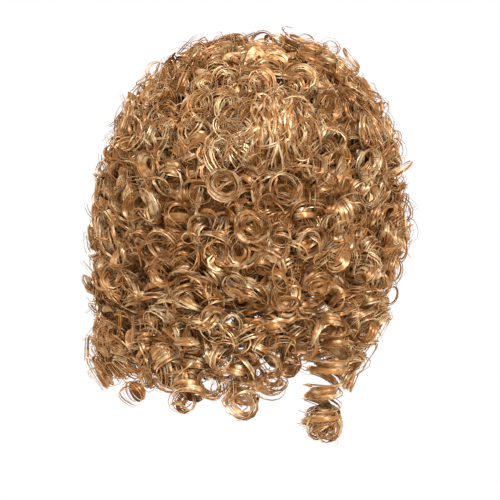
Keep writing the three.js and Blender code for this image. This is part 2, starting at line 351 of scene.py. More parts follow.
    def scatter(
        self, density: float, azimuths: Pair, levels: Pair, rng: np.random.Generator
    ) -> tuple[np.ndarray, np.ndarray]:
        """Spreads curls evenly over a stretch of the outline, and over the locks only near the hem.

        Each place is the farthest from the places before it among a dozen tries, which are drawn by
        the area of a fine grid's cells and by how full the hair is there.

        Args:
            density: curls for a square metre.
            azimuths: the azimuths to spread them between.
            levels: the levels to spread them between.
            rng: the source of chance.

        Returns:
            Azimuths and levels, one of each for a curl.
        """
        columns, rows, tries = 72, 32, 12
        across, down = np.meshgrid(np.linspace(*azimuths, columns + 1), np.linspace(*levels, rows + 1))
        grid = self.outer(across, down)
        sides = np.cross(grid[1:, :-1] - grid[:-1, :-1], grid[:-1, 1:] - grid[:-1, :-1])
        area = (np.linalg.norm(sides, axis=-1) * self.fill(across, down)[1:, :-1]).ravel()
        count = round(area.sum() * density)
        cell = rng.choice(area.size, (count, tries), p=area / area.sum())
        row, column = np.unravel_index(cell, (rows, columns))
        level = down[row, 0] + rng.uniform(0, 1, row.shape) * (down[1, 0] - down[0, 0])
        azimuth = across[0, column] + rng.uniform(0, 1, row.shape) * (across[0, 1] - across[0, 0])
        place = self.outer(azimuth, level)
        kept = np.zeros(count, int)
        for i in range(1, count):
            before = place[np.arange(i), kept[:i]]
            kept[i] = np.linalg.norm(place[i][:, None] - before[None], axis=-1).min(1).argmax()
        return azimuth[np.arange(count), kept], level[np.arange(count), kept]


FORM = HairForm()


@dataclass
class Strands:
    """Flat strands to sweep: each has a middle line, the way its width faces, and its widths.

    Attributes:
        centre: points of the middle lines, strands by samples by 3.
        wide: unit vectors along the width at those points.
        width: full widths at those points.
        tone: tones at those points, 0 dark and 1 pale.
    """

    centre: np.ndarray
    wide: np.ndarray
    width: np.ndarray
    tone: np.ndarray


@dataclass
class MeshPile:
    """Swept surfaces gathered into one mesh, with a fibre map and a tone on every corner.

    Attributes:
        points: corners, one array for each addition.
        quads: four-sided faces.
        triangles: three-sided faces.
        fibre: the fibre map's coordinates, in metres.
        tone: each corner's tone, with painted shade and painted ridge shading in it.
        count: how many corners there are.
        matted: how many of the first faces are matted hair.
        ridge: how high a strand's ridge is, as a share of half its width.
        thin_ridge: the same share for a strand thinner than thin.
        thin: the width under which a strand is rounder than flat.
        sunk: the share of the ridge's height that lies under the middle line.
        painted_ridge_shading: painted light and shade: how much paler the ridge is than the middle tone,
            and the edges darker.
        lane: how far apart neighbouring strands lie on the fibre map.
        crease: the angle past which two faces meet in a sharp edge.
    """

    points: list[np.ndarray] = field(default_factory=list)
    quads: list[np.ndarray] = field(default_factory=list)
    triangles: list[np.ndarray] = field(default_factory=list)
    fibre: list[np.ndarray] = field(default_factory=list)
    tone: list[np.ndarray] = field(default_factory=list)
    count: int = 0
    matted: int = 0
    ridge: float = 0.36
    thin_ridge: float = 1.6
    thin: float = 0.9 * MM
    sunk: float = 0.4
    painted_ridge_shading: float = 0.06
    lane: float = 31 * MM
    crease: float = 1.2

    def add(self, surface: tuple[np.ndarray, np.ndarray, np.ndarray, np.ndarray, np.ndarray]) -> None:
        """Adds a surface to the pile.

        Args:
            surface: its points, its quads and triangles counted from its first point, and the fibre
                map's coordinates and the tone at each point.
        """
        points, quads, triangles, fibre, tone = surface
        self.points.append(points)
        self.quads.append(quads + self.count)
        self.triangles.append(triangles + self.count)
        self.fibre.append(fibre)
        self.tone.append(tone)
        self.count += len(points)

    def sweep(self, strands: Strands) -> None:
        """Adds strands as three-cornered tubes: both edges of the width, and a ridge above the middle.

        The ridge stands up along the cross product of the strand's own direction and its width. Each
        ring of three corners joins the next by quads, and a triangle closes either end.

        Args:
            strands: what to sweep.
        """
        centre = strands.centre
        n, m = centre.shape[:2]
        along = unit(np.gradient(centre, axis=1))
        wide = unit(strands.wide - np.sum(strands.wide * along, -1, keepdims=True) * along)
        up = np.cross(along, wide)
        half = strands.width[..., None] / 2
        rise = np.maximum(half * self.ridge, np.minimum(half, self.thin / 2) * self.thin_ridge)
        base = centre - up * rise * self.sunk
        ridge = centre + up * rise * (1 - self.sunk)
        ring = np.stack([base + wide * half, ridge, base - wide * half], 2)
        index = np.arange(n * m * 3).reshape(n, m, 3)
        a, b = index[:, :-1], index[:, 1:]
        quads = np.stack([a, np.roll(a, -1, axis=2), np.roll(b, -1, axis=2), b], -1)
        ends = np.concatenate([index[:, 0, ::-1], index[:, -1]])
        length = np.linalg.norm(np.diff(centre, axis=1), axis=-1)
        travelled = np.concatenate([np.zeros((n, 1)), np.cumsum(length, 1)], 1)
        side = np.array([0.5, 0, -0.5])
        across = strands.width[..., None] * side + np.arange(n)[:, None, None] * self.lane
        fibre = np.stack([np.repeat(travelled[..., None], 3, 2), across], -1).reshape(-1, 2)
        # painted light and shade: the ridge's tone is paler and the edges' tone darker
        tone = (strands.tone[..., None] + self.painted_ridge_shading * np.array([-1, 1, -1])).reshape(-1)
        self.add((ring.reshape(-1, 3), quads.reshape(-1, 4), ends, fibre, tone))

    def triangle_count(self) -> int:
        """How many triangles the pile holds, each quad counted as two."""
        return sum(2 * len(q) for q in self.quads) + sum(len(t) for t in self.triangles)

    def build(self, name: str, materials: list[bpy.types.Material]) -> bpy.types.Object:
        """Makes the piece.

        Args:
            name: the piece's name.
            materials: the curls' material, then the matted hair's.

        Returns:
            An object at the origin with the mesh, smooth shaded but for the bands' edges.
        """
        points = np.concatenate(self.points).astype(np.float32)
        quads, triangles = np.concatenate(self.quads), np.concatenate(self.triangles)
        corners = np.concatenate([quads.ravel(), triangles.ravel()]).astype(np.int32)
        sizes = np.concatenate([np.full(len(quads), 4), np.full(len(triangles), 3)])
        mesh = bpy.data.meshes.new(name)
        mesh.vertices.add(len(points))
        mesh.vertices.foreach_set("co", points.ravel())
        mesh.loops.add(len(corners))
        mesh.loops.foreach_set("vertex_index", corners)
        mesh.polygons.add(len(sizes))
        mesh.polygons.foreach_set("loop_start", (np.cumsum(sizes) - sizes).astype(np.int32))
        mesh.update(calc_edges=True)
        mesh.shade_smooth()
        layer = mesh.uv_layers.new(name="fibre")
        layer.uv.foreach_set("vector", np.concatenate(self.fibre).astype(np.float32)[corners].ravel())
        tone = mesh.attributes.new("tone", "FLOAT", "POINT")
        tone.data.foreach_set("value", np.concatenate(self.tone).astype(np.float32))
        mesh.validate()
        mesh.set_sharp_from_angle(angle=self.crease)
        for material in materials:
            mesh.materials.append(material)
        mesh.polygons.foreach_set("material_index", (np.arange(len(sizes)) < self.matted).astype(np.int32))
        piece = bpy.data.objects.new(name, mesh)
        bpy.context.scene.collection.objects.link(piece)
        return piece


@dataclass(frozen=True)
class Band:
    """One band of fibres in a curl.

    Attributes:
        width: its full width.
        offset: how far beside the curl's middle band it runs.
        proud: how far it stands above the others.
    """

    width: float
    offset: float = 0
    proud: float = 0


def bands(*rows: Row) -> tuple[Band, ...]:
    """Bands side by side, from rows of width, offset and how far proud in millimetres."""
    return tuple(Band(*mm(*row)) for row in rows)


@dataclass(frozen=True)
class CurlStyle:
    """How one kind of curl is wound, in metres, radians and turns. A pair gives a range.

    Attributes:
        bands: the bands of fibres that run side by side in it.
        samples: points along a band.
        turns: full turns of the coil.
        radius: radius of the coil.
        pitch: how far the coil moves along its axis in a turn.
        flare: how far the bands lean from lying along the axis to standing out from it.
        tilt: how far axes stray to either side of straight down.
        lift: how far the free end points away from the head.
        stray: how far the bands differ in radius and place.
        sink: how far below the outline a curl starts, beyond what it needs to stay inside.
        density: how many curls of this kind a square metre of the outline carries.
        tuck: how far both ends of the bands dip back along the axis.
        slim: the bands' width at their roots, as a share of the full width.
        splay: how much wider the bands stand apart at their tips.
        shade: painted shade: how much paler than the rest curls of this kind are, darker where negative.
    """

    bands: tuple[Band, ...]
    samples: int
    turns: Pair
    radius: Pair
    pitch: Pair
    flare: Pair
    lift: Pair
    sink: Pair
    tilt: float
    stray: float
    density: float = 0
    tuck: float = 0
    slim: float = 0.45
    splay: float = 0.35
    shade: float = 0


class Curl(Enum):
    """The kinds of curl that stand all over the wig."""

    RINGLET = CurlStyle(
        bands=bands((4.6, -3.0), (4.0, 1.4, 0.4), (2.6, -0.8, 0.8), (2.6, 4.8, 0.3), (0.9, 3.0, 1.6)),
        samples=26,
        turns=(1.7, 2.8),
        radius=mm(8, 12),
        pitch=mm(9, 14),
        flare=(-0.35, 0.35),
        lift=(0, 0.7),
        sink=mm(1, 11),
        tilt=0.8,
        stray=1 * MM,
        density=1400,
    )
    ROSETTE = CurlStyle(
        bands=bands((4.0, -2.2), (3.4, 0.9, 0.5), (2.2, 3.4, 0.8), (0.9, -0.6, 1.2)),
        samples=27,
        turns=(1.5, 2.6),
        radius=mm(7.5, 12.5),
        pitch=mm(4, 7),
        flare=(0.2, 0.9),
        lift=(0.8, 1.5),
        sink=mm(-2, 7),
        tilt=1.5,
        stray=0.9 * MM,
        density=2000,
    )
    WISP = CurlStyle(
        bands=bands((3.4, -1.8), (2.8, 1.2, 0.6), (1.6, 3.6, 1.0)),
        samples=16,
        turns=(0.8, 1.6),
        radius=mm(7, 12),
        pitch=mm(12, 22),
        flare=(-0.5, 0.7),
        lift=(-0.1, 0.6),
        sink=mm(1, 10),
        tilt=0.9,
        stray=1.3 * MM,
        density=1700,
    )
    CRESCENT = CurlStyle(
        bands=bands((3.6, -2.6), (3.2, 0.4, 0.5), (2.6, 2.9, 0.2), (1.0, -0.8, 1.0)),
        samples=10,
        turns=(0.32, 0.75),
        radius=mm(8, 15),
        pitch=mm(2, 8),
        flare=(0.9, 1.55),
        lift=(0.7, 1.5),
        sink=mm(2, 10),
        tilt=1.5,
        stray=0.9 * MM,
        density=3600,
        tuck=6 * MM,
        slim=0.2,
        splay=0,
    )
    LOOP = CurlStyle(
        bands=bands((1.6,), (0.9, 2.0, 0.4)),
        samples=20,
        turns=(1, 1.9),
        radius=mm(6, 12),
        pitch=mm(5, 12),
        flare=(-0.4, 1),
        lift=(0.2, 1.4),
        sink=mm(-9, -1),
        tilt=1.5,
        stray=0.7 * MM,
        density=2200,
        # painted shade: the loops are painted darker, as thin hair seen against the light, and as shadow
        # lines among the curls
        shade=-0.3,
    )


FLOSS = CurlStyle(
    bands=bands(*((0.6 + 0.2 * (i % 3), (i - 2.5) * 1.7, 0.6 * (i % 2)) for i in range(6))),
    samples=12,
    turns=(0.4, 0.9),
    radius=mm(6, 15),
    pitch=mm(1, 6),
    flare=(0.8, 1.57),
    lift=(1, 1.5),
    sink=mm(-5, 1),
    tilt=1.5,
    stray=2.2 * MM,
    density=9000,
    tuck=4 * MM,
    slim=0.6,
)

TRESS = CurlStyle(
    bands=bands(
        (5.6, -4.2),
        (5.2, 0.2, 0.5),
        (4.6, 4.2, 0.2),
        (2.4, -1.8, 1.2),
        (2.0, 2.4, 1.3),
        (0.9, -6.6, 0.6),
        (0.9, 6.4, 0.9),
        (1.4, 5.6, 2.4),
        (1.4, -5.2, 2.8),
    ),
    samples=64,
    turns=(4.2, 4.6),
    radius=mm(13, 14),
    pitch=mm(13, 15),
    flare=(0.1, 0.3),
    lift=(0, 0.1),
    sink=mm(0, 2),
    tilt=0.2,
    stray=2.4 * MM,
)


@dataclass
class Axes:
    """The lines that curls wind round: quadratic curves, and what differs from curl to curl.

    Attributes:
        root: where each line leaves the head.
        bend: the point that it bends towards.
        tip: where it ends.
        radius: each coil's radius.
        turns: each coil's turns.
        tone: each curl's own tone, darkened by painted shade where the curl lies deep.
    """

    root: np.ndarray
    bend: np.ndarray
    tip: np.ndarray
    radius: np.ndarray
    turns: np.ndarray
    tone: np.ndarray


@dataclass(frozen=True)
class Growth:
    """How a curl grows out of the head.

    Attributes:
        leaving: how much of outward, downward and any other direction the root sets off in.
        rooted: the share of the line's length that lies under the place where it shows.
        first_part: the share of the length up to the bend.
        last_part: the share of the length past it.
        raised: the share of a lifted line's length that stands up from the head.
        clearance: how far from the inside a root stays, in radii.
        shallowest: the least depth of a root, in radii.
        tone: the middle tone.
        buried_painted_shade: painted shade: how much darker the deepest curls are painted.
        tone_scatter: how far the tones scatter from curl to curl.
    """

    leaving: Triple = (0.7, 0.6, 0.3)
    rooted: float = 0.25
    first_part: float = 0.4
    last_part: float = 0.8
    raised: float = 0.75
    clearance: float = 0.5
    shallowest: float = 0.8
    tone: float = 0.55
    buried_painted_shade: float = 0.22
    tone_scatter: float = 0.15

    def plant(self, style: CurlStyle, lie: Lie, rng: np.random.Generator) -> Axes:
        """Gives each curl a line that leaves the head outward and bends to its own free direction.

        The line starts as deep under the outline as brings the coil's outermost turn up to it.

        Args:
            style: the kind of curl.
            lie: places on the outline.
            rng: the source of chance.

        Returns:
            The lines.
        """
        n = len(lie.place)
        radius = rng.uniform(*style.radius, n)
        turns = rng.uniform(*style.turns, n)
        length = (turns * rng.uniform(*style.pitch, n))[:, None]
        tilt = rng.normal(0, style.tilt, n)[:, None]
        lift = rng.uniform(*style.lift, n)[:, None]
        level = np.cos(tilt) * lie.down + np.sin(tilt) * lie.round_
        free = np.cos(lift) * level + np.sin(lift) * lie.out
        out, down, anywhere = self.leaving
        first = unit(out * lie.out + down * lie.down + anywhere * rng.normal(0, 1, (n, 3)))
        standing = self.raised * length[:, 0] * np.maximum(0, np.sin(lift[:, 0]))
        under = radius * np.cos(lift[:, 0]) + standing + rng.uniform(*style.sink, n)
        under = np.minimum(under, np.maximum(lie.depth - self.clearance * radius, self.shallowest * radius))
        root = lie.place - lie.out * (under[:, None] + self.rooted * length)
        bend = root + self.first_part * length * first
        overlap = (self.first_part + self.last_part - 1) / 2
        buried = np.clip((under - radius) / np.maximum(lie.depth, 0.1 * MM), 0, 1)
        # painted shade: a curl is darker the deeper it starts under the outline, and the loops darker still
        shade = self.tone + style.shade - self.buried_painted_shade * buried
        return Axes(
            root=root,
            bend=bend,
            tip=bend - overlap * length * first + self.last_part * length * free,
            radius=radius,
            turns=turns,
            tone=shade + rng.normal(0, self.tone_scatter, n),
        )


@dataclass(frozen=True)
class Winding:
    """How bands wind round a curl's line, and how much they differ along it and from one another.

    Attributes:
        one_way: the share of the coils that wind one way round.
        turn_scatter: how far the bands' turns scatter, as a share.
        phase_scatter: how far apart the bands start, in radians.
        ripple: how far the bands run ahead and behind, in radians, and in how many waves a turn.
        breath: how much the radius swells along the coil, as a share, and in how many waves.
        oval: how far a coil is from round, as a share.
        tight: the radius at the root, as a share of the full one.
        grown: the share of the length at which radius and width are full.
        wander_waves: in how many waves a turn a band wanders.
        reach_scatter: how far the bands' radii scatter, in strays.
        spread: how far apart the bands run at the root, as a share of their offsets.
        spread_scatter: how far the bands' offsets scatter, in strays.
        stops: the shares of the length where bands may end.
        pointed: how much of the width a band loses towards its end.
        point: the share of the length over which it does.
        fray: how much the width waves along a band, as a share.
        fray_waves: in how many waves a turn it does.
        width_spread: the least and the greatest width, as shares.
        tone_scatter: how far the bands' tones scatter.
        root_painted_shade: painted shade: how much paler the tips are than the roots, which lie deeper in
            the hair.
        tone_level: where on that rise the middle tone lies.
    """

    one_way: float = 0.7
    turn_scatter: float = 0.02
    phase_scatter: float = 0.10
    ripple: Pair = (0.10, 1.3)
    breath: Pair = (0.07, 1.7)
    oval: float = 0.11
    tight: float = 0.5
    grown: float = 0.3
    wander_waves: Pair = (0.5, 1.5)
    reach_scatter: float = 0.5
    spread: float = 0.8
    spread_scatter: float = 0.6
    stops: Pair = (0.8, 1.0)
    pointed: float = 0.8
    point: float = 0.3
    fray: float = 0.16
    fray_waves: Pair = (0.8, 2.2)
    width_spread: Pair = (0.75, 1.2)
    tone_scatter: float = 0.10
    root_painted_shade: float = 0.12
    tone_level: float = 0.6

    def wind(self, style: CurlStyle, axes: Axes, rng: np.random.Generator) -> Strands:
        """Winds one curl round each line.

        A band's middle is the line's point, plus the radius times (cosine, sine) of the turn angle in
        the plane across the line, plus the band's own offset along its width. The width lies along
        the line and leans out from it by the flare.

        Args:
            style: the kind of curl.
            axes: the lines.
            rng: the source of chance.

        Returns:
            The bands of all the curls.
        """
        n, k, m = len(axes.root), len(style.bands), style.samples
        each_curl, each_band = (n, 1, 1), (n, k, 1)
        t = np.linspace(0, 1, m)[None, :, None]
        first, last = (axes.bend - axes.root)[:, None], (axes.tip - axes.bend)[:, None]
        spine = axes.root[:, None] + 2 * t * first + t**2 * (last - first)
        ahead = unit((1 - t) * first + t * last)
        across = unit(np.cross(axes.tip - axes.root, rng.normal(0, 1, (n, 3))))[:, None]
        right = unit(across - np.sum(across * ahead, -1, keepdims=True) * ahead)
        top = np.cross(ahead, right)
        spine, ahead, right, top = (v[:, None] for v in (spine, ahead, right, top))
        width, offset, proud = (
            np.array(column)[None, :, None]
            for column in zip(*((band.width, band.offset, band.proud) for band in style.bands))
        )

        s = np.linspace(0, 1, m)[None, None]
        hand = np.where(rng.uniform(0, 1, each_curl) < self.one_way, 1.0, -1.0)
        turns = axes.turns[:, None, None] * (1 + rng.normal(0, self.turn_scatter, each_band))
        ripple = self.ripple[0] * drift(self.ripple[1] * s * turns, each_band, rng)
        phase = rng.uniform(0, TAU, each_curl) + rng.normal(0, self.phase_scatter, each_band)
        angle = hand * (phase + TAU * turns * s) + ripple
        swell = self.tight + (1 - self.tight) * smooth(s, 0, self.grown)
        breath = 1 + self.breath[0] * drift(self.breath[1] * s, each_curl, rng)
        breath = breath + self.oval * np.sin(2 * angle + rng.uniform(0, TAU, each_curl))
        wander = drift(rng.uniform(*self.wander_waves, each_band) * s * turns, each_band, rng)
        wander = wander + rng.normal(0, self.reach_scatter, each_band)
        reach = axes.radius[:, None, None] * swell * breath + style.stray * wander
        flare = rng.uniform(*style.flare, each_curl)[..., None]
        radial = np.cos(angle)[..., None] * right + np.sin(angle)[..., None] * top
        wide = np.cos(flare) * ahead + np.sin(flare) * radial
        above = np.cos(flare) * radial - np.sin(flare) * ahead
        astray = style.stray * rng.normal(0, self.spread_scatter, each_band)
        spread = offset * (self.spread + style.splay * s) + astray
        dip = -style.tuck * (2 * s - 1) ** 2
        centre = spine + reach[..., None] * radial + spread[..., None] * wide + proud[..., None] * above
        centre += dip[..., None] * ahead

        stop = rng.uniform(*self.stops, each_band)
        taper = style.slim + (1 - style.slim) * smooth(s, 0, self.grown)
        taper = taper * (1 - self.pointed * smooth(s, stop - self.point, stop))
        fray = drift(rng.uniform(*self.fray_waves, each_band) * s * turns, each_band, rng)
        full = width * rng.uniform(*self.width_spread, each_band) * taper * (1 + self.fray * fray)
        tone = axes.tone[:, None, None] + rng.normal(0, self.tone_scatter, each_band)
        # painted shade: the roots, deep in the hair, are darker and the tips paler
        tone = tone + self.root_painted_shade * (smooth(s, 0, 0.5) - self.tone_level)
        return Strands(
            centre=centre.reshape(n * k, m, 3),
            wide=(wide * hand[..., None]).reshape(n * k, m, 3),
            width=np.broadcast_to(full, (n, k, m)).reshape(n * k, m),
            tone=np.broadcast_to(tone, (n, k, m)).reshape(n * k, m),
        )


GROWTH, WINDING = Growth(), Winding()


@dataclass
class Recipe:
    """Short ways to add nodes to one node tree.

    Attributes:
        tree: the tree of a material or of the surround.
    """

    tree: bpy.types.NodeTree

    def fill(self, node: bpy.types.Node, inputs: dict[str | int, object]) -> None:
        """Fills a node's inputs.

        Args:
            node: the node.
            inputs: for each input, by name or number, a value or another node's socket.
        """
        for key, value in inputs.items():
            if isinstance(value, bpy.types.NodeSocket):
                self.tree.links.new(value, node.inputs[key])
            else:
                node.inputs[key].default_value = value

    def add(self, kind: str, inputs: dict[str | int, object], **settings: object) -> bpy.types.Node:
        """Adds a node.

        Args:
            kind: its kind, as the shader nodes are called.
            inputs: what fills its inputs.
            settings: its own settings.

        Returns:
            The node.
        """
        node = self.tree.nodes.new("ShaderNode" + kind)
        for setting, value in settings.items():
            setattr(node, setting, value)
        self.fill(node, inputs)
        return node

    def place(self) -> bpy.types.NodeSocket:
        """The Object coordinates."""
        return self.add("TexCoord", {}).outputs["Object"]

    def math(self, operation: str, *values: object, clamp: bool = False) -> bpy.types.NodeSocket:
        """The result of one operation on sockets or numbers, kept between 0 and 1 if clamped."""
        node = self.add("Math", dict(enumerate(values)), operation=operation, use_clamp=clamp)
        return node.outputs["Value"]

    def centred(self, share: bpy.types.NodeSocket, contrast: float) -> bpy.types.NodeSocket:
        """How far a share is from a half, times the contrast."""
        return self.math("MULTIPLY_ADD", share, contrast, -0.5 * contrast)

    def scaled(self, vector: object, factors: Triple, shift: object = (0, 0, 0)) -> bpy.types.NodeSocket:
        """A vector times a factor for each axis, plus a shift."""
        inputs = {0: vector, 1: factors, 2: shift}
        return self.add("VectorMath", inputs, operation="MULTIPLY_ADD").outputs["Vector"]

    def ramp(self, share: bpy.types.NodeSocket, stops: dict[float, Triple]) -> bpy.types.NodeSocket:
        """Colours by a share.

        Args:
            share: from 0 to 1.
            stops: the colours at rising shares, and even changes between them.

        Returns:
            The colour.
        """
        node = self.add("ValToRGB", {"Fac": share})
        elements, shares = node.color_ramp.elements, list(stops)
        elements[0].position, elements[1].position = shares[0], shares[-1]
        for between in shares[1:-1]:
            elements.new(between)
        for element, colour in zip(elements, stops.values()):
            element.color = (*colour, 1)
        return node.outputs["Color"]

    def surface(
        self,
        colour: bpy.types.NodeSocket,
        height: bpy.types.NodeSocket,
        relief: Pair,
        inputs: dict[str, object],
    ) -> None:
        """Fills the shader.

        Args:
            colour: its colour.
            height: how high the surface stands, from 0 to 1.
            relief: the bump's depth in metres and its strength.
            inputs: its other inputs.
        """
        depth, strength = relief
        bump = self.add("Bump", {"Strength": strength, "Distance": depth, "Height": height})
        own = {"Base Color": colour, "Normal": bump.outputs["Normal"], **inputs}
        self.fill(self.tree.nodes["Principled BSDF"], own)


@dataclass(frozen=True)
class Finish:
    """A finish.

    Attributes:
        name: its material's name.
    """

    name: str

    def mix(self, recipe: Recipe) -> None:
        """Adds the finish's own nodes to the recipe."""
        raise NotImplementedError

    def material(self) -> bpy.types.Material:
        """Makes the material.

        Returns:
            The material.
        """
        mat = bpy.data.materials.new(self.name)
        mat.use_nodes = True
        self.mix(Recipe(mat.node_tree))
        return mat


@dataclass(frozen=True)
class HairFinish(Finish):
    """Glossy synthetic fibre: brown where painted shade darkens it, honey blond in the middle tones, pale
    in painted glints.
    """

    name: str = "honey_fibre"
    dark: Triple = (0.28, 0.114, 0.027)
    honey: Triple = (0.29, 0.130, 0.036)
    pale: Triple = (0.58, 0.43, 0.265)
    streak_width: float = 1.1 * MM
    streak_length: float = 16 * MM
    streak_depth: float = 0.14 * MM
    streak_contrast: float = 1.1
    glint_size: float = 7 * MM
    glint_contrast: float = 2.0
    roughness: float = 0.45
    metallic: float = 0.6
    anisotropy: float = 0.7
    quarter_turn: float = 0.25
    specular: float = 1
    specular_tint: Triple = (1, 0.95, 0.85)
    refraction: float = 1.6

    def mix(self, recipe: Recipe) -> None:
        """Shades the tone by streaks along the fibre map and by painted glints, soft paler and darker
        patches; the streaks are the bump.

        Args:
            recipe: where the nodes go.
        """
        fibre = recipe.add("UVMap", {}, uv_map="fibre").outputs["UV"]
        along = recipe.scaled(fibre, (1 / self.streak_length, 1 / self.streak_width, 1))
        fine = {"Vector": along, "Scale": 1, "Detail": 3, "Roughness": 0.7}
        streak = recipe.add("TexNoise", fine, noise_dimensions="2D").outputs["Fac"]
        # painted glints: soft paler and darker patches fixed to the object, standing in for highlights on
        # the locks
        patch = recipe.scaled(recipe.place(), (1 / self.glint_size,) * 3)
        glint = recipe.add("TexNoise", {"Vector": patch, "Scale": 1, "Detail": 1}).outputs["Fac"]
        tone = recipe.add("Attribute", {}, attribute_name="tone").outputs["Fac"]
        own = recipe.math("ADD", recipe.centred(glint, self.glint_contrast), tone)
        total = recipe.math("ADD", recipe.centred(streak, self.streak_contrast), own, clamp=True)
        colour = recipe.ramp(total, {0: self.dark, 0.5: self.honey, 1: self.pale})
        tangent = recipe.add("Tangent", {}, direction_type="UV_MAP", uv_map="fibre")
        gloss = {
            "Roughness": self.roughness,
            "Metallic": self.metallic,
            "Tangent": tangent.outputs["Tangent"],
            "Anisotropic": self.anisotropy,
            "Anisotropic Rotation": self.quarter_turn,
            "Specular IOR Level": self.specular,
            "Specular Tint": (*self.specular_tint, 1),
            "IOR": self.refraction,
        }
        recipe.surface(colour, streak, (self.streak_depth, 1), gloss)


@dataclass(frozen=True)
class MatFinish(Finish):
    """The matted hair between the curls: small tangled rings in brown and honey."""

    name: str = "matted_fibre"
    dark: Triple = (0.21, 0.078, 0.015)
    light: Triple = (0.46, 0.215, 0.066)
    ring_cell: float = 13 * MM
    ring_pitch: float = 1.5 * MM
    ring_contrast: float = 0.4
    bend_size: float = 26 * MM
    bend_depth: float = 20 * MM
    relief: float = 1.3 * MM
    roughness: float = 0.45
    specular: float = 0.5

    def mix(self, recipe: Recipe) -> None:
        """Draws rings round scattered points, bent by noise, for colour and bump.

        The rings are the sine of the distance from the nearest scattered point over the pitch.

        Args:
            recipe: where the nodes go.
        """
        place = recipe.place()
        noise = recipe.add("TexNoise", {"Vector": place, "Scale": 1 / self.bend_size, "Detail": 3})
        bent = recipe.scaled(noise.outputs["Color"], (self.bend_depth,) * 3, place)
        cells = recipe.add("TexVoronoi", {"Vector": bent, "Scale": 1 / self.ring_cell})
        turn = recipe.math("MULTIPLY", cells.outputs["Distance"], TAU * self.ring_cell / self.ring_pitch)
        ring = recipe.math("SINE", turn)
        share = recipe.math("MULTIPLY_ADD", ring, self.ring_contrast, 0.5)
        colour = recipe.ramp(share, {0: self.dark, 1: self.light})
        gloss = {"Roughness": self.roughness, "Specular IOR Level": self.specular}
        recipe.surface(colour, ring, (self.relief, 1), gloss)


@dataclass(frozen=True)
class NetFinish(Finish):
    """The cap's stretch net: fine dark mesh with rows of hair sewn along it."""

    name: str = "cap_net"
    thread: Triple = (0.16, 0.075, 0.035)
    gap: Triple = (0.035, 0.014, 0.006)
    row: Triple = (0.30, 0.15, 0.06)
    mesh_pitch: float = 1.6 * MM
    thread_from: float = 0.3
    thread_full: float = 0.8
    row_pitch: float = 11 * MM
    row_from: float = 0.7
    row_height: float = 2
    relief: float = 0.4 * MM
    strength: float = 0.8
    roughness: float = 0.75

    def mix(self, recipe: Recipe) -> None:
        """Crosses two diagonal waves for the mesh, and lays level stripes over it for the rows.

        Args:
            recipe: where the nodes go.
        """
        parts = recipe.add("SeparateXYZ", {"Vector": recipe.place()}).outputs
        across = recipe.math("ADD", parts["X"], parts["Y"])
        slopes = [recipe.math(sign, across, parts["Z"]) for sign in ("ADD", "SUBTRACT")]
        waves = [recipe.math("SINE", recipe.math("MULTIPLY", s, TAU / self.mesh_pitch)) for s in slopes]
        mesh = recipe.math("MAXIMUM", *waves)
        stripe = recipe.math("SINE", recipe.math("MULTIPLY", parts["Z"], TAU / self.row_pitch))
        sewn = recipe.math("GREATER_THAN", stripe, self.row_from)
        net = recipe.ramp(mesh, {self.thread_from: self.gap, self.thread_full: self.thread})
        rows = {"Factor": sewn, "A": net, "B": (*self.row, 1)}
        colour = recipe.add("Mix", rows, data_type="RGBA").outputs["Result"]
        height = recipe.math("ADD", mesh, recipe.math("MULTIPLY", sewn, self.row_height))
        recipe.surface(colour, height, (self.relief, self.strength), {"Roughness": self.roughness})


@dataclass(frozen=True)
class ElasticFinish(Finish):
    """The edge band's ribbed elastic."""

    name: str = "elastic"
    light: Triple = (0.23, 0.12, 0.06)
    dark: Triple = (0.07, 0.032, 0.014)
    ribs: int = 320
    relief: float = 0.5 * MM
    strength: float = 0.7
    roughness: float = 0.7

    def mix(self, recipe: Recipe) -> None:
        """Sets ribs round the rim by the sine of the angle round the head.

        Args:
            recipe: where the nodes go.
        """
        parts = recipe.add("SeparateXYZ", {"Vector": recipe.place()}).outputs
        angle = recipe.math("ARCTAN2", parts["X"], parts["Y"])
        rib = recipe.math("SINE", recipe.math("MULTIPLY", angle, self.ribs))
        colour = recipe.ramp(rib, {0: self.dark, 1: self.light})
        recipe.surface(colour, rib, (self.relief, self.strength), {"Roughness": self.roughness})


@dataclass
class HairPiece:
    """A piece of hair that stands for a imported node, or for a part of one.

    Attributes:
        node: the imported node.
        part: what the piece is called after the node's name.
        seed: its own source of chance.
    """

    node: str
    part: str
    seed: int

    def grow(self, pile: MeshPile, rng: np.random.Generator) -> None:
        """Adds the piece's hair to the pile."""
        raise NotImplementedError

    def build(self, materials: list[bpy.types.Material]) -> bpy.types.Object:
        """Makes the piece, which rides on the wig.

        Args:
            materials: the curls' material, then the matted hair's.

        Returns:
            The piece.
        """
        pile = MeshPile()
        self.grow(pile, np.random.default_rng(self.seed))
        piece = pile.build(f"{self.node}_{self.part}", materials if pile.matted else materials[:1])
        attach(piece, "root")
        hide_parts(self.node)
        log.info("%s: %d triangles", piece.name, pile.triangle_count())
        return piece


